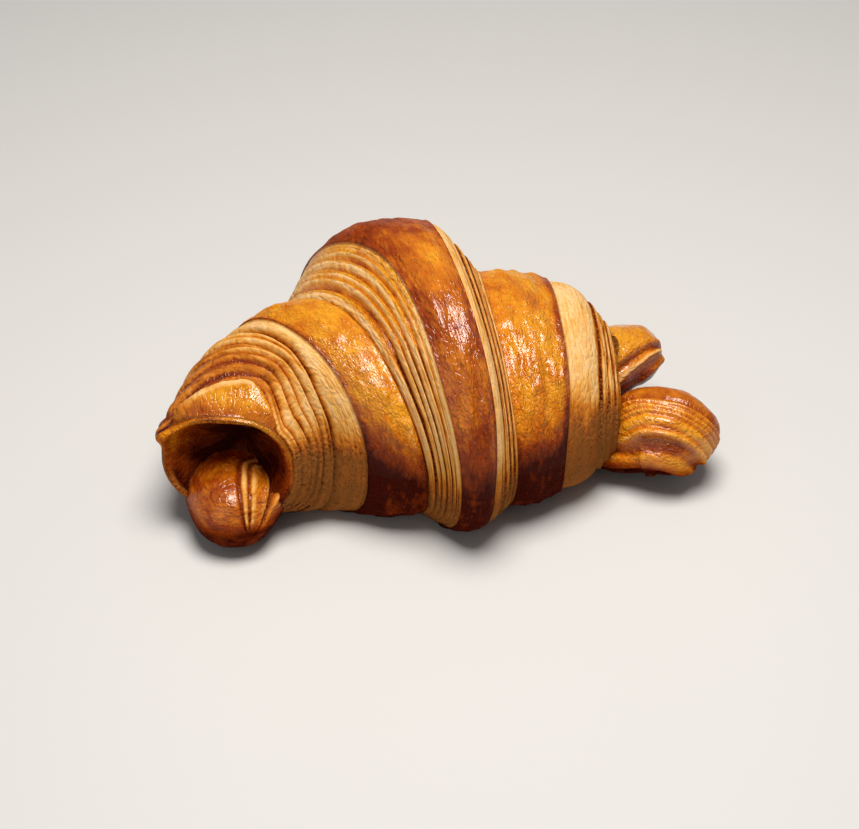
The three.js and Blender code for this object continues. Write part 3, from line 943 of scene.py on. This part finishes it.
# What each pattern adds: from this value of it to that one, from this amount to that one
adds = {
    "ribbonToCut": (0.35, 0.75, -0.06, 0.22),
    "bakeToCut": 0.9,
    "patchToCut": (0.3, 0.7, -0.07, 0.07),
    "bakeToSpecks": 0.25,
    "specks": (0.5, 0.7),
    "grooveToCrust": 0.45,
    "patchToCrust": (0.25, 0.75, -0.1, 0.1),
    "broadToCrust": (0.3, 0.7, -0.1, 0.1),
    "mottleToCrust": (0.3, 0.7, -0.1, 0.1),
    "puffsToCrust": (0.0, 1.0, 0.05, -0.02),
    "fineToEdge": (0.3, 0.7, -0.1, 0.1),
    "edge": (0.35, 0.65),
    "puffs": (0.0, 0.3),
    "net": (0.0, 0.28),
    "glazeLine": (0.0, 0.12),
}

# Bumps: strength, and height in metres
bumps = {
    "wrinkle": (0.5, 0.0004),
    "net": (0.8, 0.00025),
    "ripple": (0.4, 0.0008),
    "dimple": (0.3, 0.0002),
    "pore": (0.15, 0.0001),
    "glazeWave": (0.5, 0.0009),
    "glazeLine": (1.0, 0.00004),
}


# A short way to write a material's nodes

class Nodes:
    def __init__(self, tree):
        self.tree = tree

    def put(self, socket, value):
        if isinstance(value, bpy.types.NodeSocket):
            self.tree.links.new(value, socket)
        else:
            socket.default_value = value

    def add(self, kind, inputs=None, output=0, **settings):
        made = self.tree.nodes.new(kind)
        for key, value in settings.items():
            setattr(made, key, value)
        for key, value in (inputs or {}).items():
            self.put(made.inputs[key], value)
        return made.outputs[output]

    def math(self, operation, a, b):
        return self.add("ShaderNodeMath", {0: a, 1: b}, operation=operation)

    def mapped(self, value, low, high, newLow=0.0, newHigh=1.0):
        return self.add("ShaderNodeMapRange", {"Value": value, "From Min": low, "From Max": high,
                                               "To Min": newLow, "To Max": newHigh},
                        interpolation_type="SMOOTHSTEP")

    def noise(self, vector, scale, detail=3.0, roughness=0.55):
        return self.add("ShaderNodeTexNoise", {"Vector": vector, "Scale": scale, "Detail": detail,
                                               "Roughness": roughness})

    def cells(self, vector):
        return self.add("ShaderNodeTexVoronoi", {"Vector": vector, "Scale": 1.0, "Randomness": 1.0},
                        feature="DISTANCE_TO_EDGE")

    def bump(self, height, strength, distance, normal=None):
        inputs = {"Strength": strength, "Distance": distance, "Height": height}
        if normal:
            inputs["Normal"] = normal
        return self.add("ShaderNodeBump", inputs)

    def noiseColour(self, vector, scale):
        return self.add("ShaderNodeTexNoise", {"Vector": vector, "Scale": scale, "Detail": 2.0}, output=1)

    def stretched(self, vector, scale):
        return self.add("ShaderNodeVectorMath", {0: vector, 1: scale}, operation="MULTIPLY")

    def attribute(self, name, output="Fac"):
        made = self.tree.nodes.new("ShaderNodeAttribute")
        made.attribute_name = name
        return made.outputs[output]

    def ramp(self, value, stops):
        made = self.tree.nodes.new("ShaderNodeValToRGB")
        self.put(made.inputs[0], value)
        elements = made.color_ramp.elements
        while len(elements) < len(stops):
            elements.new(0.5)
        for element, (place, colour) in zip(elements, stops):
            element.position = place
            element.color = (*colour, 1)
        return made.outputs[0]

    def mix(self, factor, a, b, blend="MIX"):
        made = self.tree.nodes.new("ShaderNodeMix")
        made.data_type = "RGBA"
        made.blend_type = blend
        self.put(made.inputs["Factor"], factor)
        self.put(made.inputs[6], a if isinstance(a, bpy.types.NodeSocket) else (*a, 1))
        self.put(made.inputs[7], b if isinstance(b, bpy.types.NodeSocket) else (*b, 1))
        return made.outputs[2]


def bakedDough():
    print("material: baked dough")
    material = bpy.data.materials.new("baked dough")
    material.use_nodes = True
    tree = material.node_tree
    nodes = Nodes(tree)
    surface = tree.nodes["Principled BSDF"]
    place = tree.nodes.new("ShaderNodeTexCoord").outputs["Object"]
    flow = nodes.attribute("flow", "Vector")
    crustValue, groove, bake, glaze = (nodes.attribute(name) for name in valueNames)

    broad = nodes.noise(place, *patterns["broad"])
    patch = nodes.noise(place, *patterns["patch"])
    fine = nodes.noise(place, *patterns["fine"])
    pores = nodes.noise(place, *patterns["pores"])
    ribbon = nodes.noise(nodes.stretched(flow, patterns["ribbon"]), 1.0, 3, 0.6)
    mottle = nodes.noise(nodes.stretched(flow, patterns["mottle"]), 1.0, 4, 0.6)
    bend = nodes.noiseColour(place, patterns["bend"])
    bent = nodes.add("ShaderNodeVectorMath", {0: flow, 1: bend}, operation="ADD")
    puffs = nodes.mapped(nodes.cells(nodes.stretched(bent, patterns["puffs"])), *adds["puffs"])
    webCells = nodes.cells(nodes.stretched(bent, patterns["web"]))

    # the groove value darkens the cut colour: browner dough with painted shade
    cutDepth = nodes.math("ADD", groove, nodes.mapped(ribbon, *adds["ribbonToCut"]))
    cutDepth = nodes.math("ADD", cutDepth, nodes.math("MULTIPLY", bake, adds["bakeToCut"]))
    cutDepth = nodes.math("ADD", cutDepth, nodes.mapped(patch, *adds["patchToCut"]))
    cutColour = nodes.ramp(cutDepth, dough["cutRamp"])
    specks = nodes.math("ADD", pores, nodes.math("MULTIPLY", bake, adds["bakeToSpecks"]))
    speckShare = nodes.math("MULTIPLY", nodes.mapped(specks, *adds["specks"]), dough["speckStrength"])
    cutColour = nodes.mix(speckShare, cutColour, dough["speckColour"])

    # grooves darken the crust too: browner dough with painted shade in them
    baked = nodes.math("ADD", bake, nodes.math("MULTIPLY", groove, adds["grooveToCrust"]))
    for pattern, name in ((patch, "patch"), (broad, "broad"), (mottle, "mottle"), (puffs, "puffs")):
        baked = nodes.math("ADD", baked, nodes.mapped(pattern, *adds[name + "ToCrust"]))
    crustColour = nodes.ramp(baked, dough["crustRamp"])

    ragged = nodes.math("ADD", crustValue, nodes.mapped(fine, *adds["fineToEdge"]))
    isCrust = nodes.mapped(ragged, *adds["edge"])
    nodes.put(surface.inputs["Base Color"], nodes.mix(isCrust, cutColour, crustColour))

    glossy = nodes.math("MULTIPLY", isCrust, glaze)
    nodes.put(surface.inputs["Roughness"], nodes.mapped(glossy, *dough["roughness"]))
    nodes.put(surface.inputs["Coat Weight"], glossy)
    for key, value in doughSurface.items():
        nodes.put(surface.inputs[key], value)

    netStrength, netHeight = bumps["net"]
    netOnCrust = nodes.math("MULTIPLY", isCrust, netStrength)
    normal = nodes.bump(puffs, *bumps["wrinkle"])
    normal = nodes.bump(nodes.mapped(webCells, *adds["net"]), netOnCrust, netHeight, normal)
    for pattern, name in ((mottle, "ripple"), (fine, "dimple"), (pores, "pore")):
        normal = nodes.bump(pattern, *bumps[name], normal)
    nodes.put(surface.inputs["Normal"], normal)
    glazeNormal = nodes.bump(mottle, *bumps["glazeWave"])
    lines = nodes.mapped(webCells, *adds["glazeLine"])
    glazeNormal = nodes.bump(lines, *bumps["glazeLine"], glazeNormal)
    nodes.put(surface.inputs["Coat Normal"], glazeNormal)
    return material


# Floor and light

studio = {
    "floorColour": (0.70, 0.69, 0.67), "floorRoughness": 0.6, "floorReach": 2.5,
    "lightAim": (0, 0, 0.03), "keyColour": (1.0, 0.965, 0.92), "keyPower": 4.5, "keySize": 0.36,
    "keyPlace": (0.02, -0.06, 0.62), "fillColour": (1.0, 1.0, 1.0), "fillPower": 0.4,
    "fillSize": 0.6, "fillPlace": (-0.5, -0.45, 0.3), "worldLight": 0.15,
}


def makeFloor():
    bm = bmesh.new()
    bmesh.ops.create_grid(bm, x_segments=1, y_segments=1, size=studio["floorReach"])
    mesh = bpy.data.meshes.new("floor")
    bm.to_mesh(mesh)
    bm.free()
    floor = bpy.data.objects.new("floor", mesh)
    bpy.context.scene.collection.objects.link(floor)
    material = bpy.data.materials.new("pale floor")
    material.use_nodes = True
    surface = material.node_tree.nodes["Principled BSDF"]
    surface.inputs["Base Color"].default_value = (*studio["floorColour"], 1)
    surface.inputs["Roughness"].default_value = studio["floorRoughness"]
    mesh.materials.append(material)


def addSoftLight(name):
    place = studio[name + "Place"]
    data = bpy.data.lights.new(name, "AREA")
    data.shape = "DISK"
    data.size = studio[name + "Size"]
    data.energy = studio[name + "Power"]
    data.color = studio[name + "Colour"]
    light = bpy.data.objects.new(name, data)
    light.location = place
    towards = Vector(studio["lightAim"]) - Vector(place)
    light.rotation_euler = towards.to_track_quat("-Z", "Y").to_euler()
    bpy.context.scene.collection.objects.link(light)


def makeStudio():
    print("floor and light")
    makeFloor()
    addSoftLight("key")
    addSoftLight("fill")
    world = bpy.data.worlds.new("studio")
    world.use_nodes = True
    background = world.node_tree.nodes["Background"]
    background.inputs["Color"].default_value = (1, 1, 1, 1)
    background.inputs["Strength"].default_value = studio["worldLight"]
    bpy.context.scene.world = world
    bpy.context.scene.view_settings.view_transform = "Standard"


makeCamera()
makeStudio()
croissant = uniteWith(makeRoll(), [makeHorn(name) for name in horns])
croissant.name = "croissant_crust"
croissant.data.materials.clear()
croissant.data.materials.append(bakedDough())
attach(croissant, "root")
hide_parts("croissant")
print("triangles:", sum(len(face.vertices) - 2 for face in croissant.data.polygons))
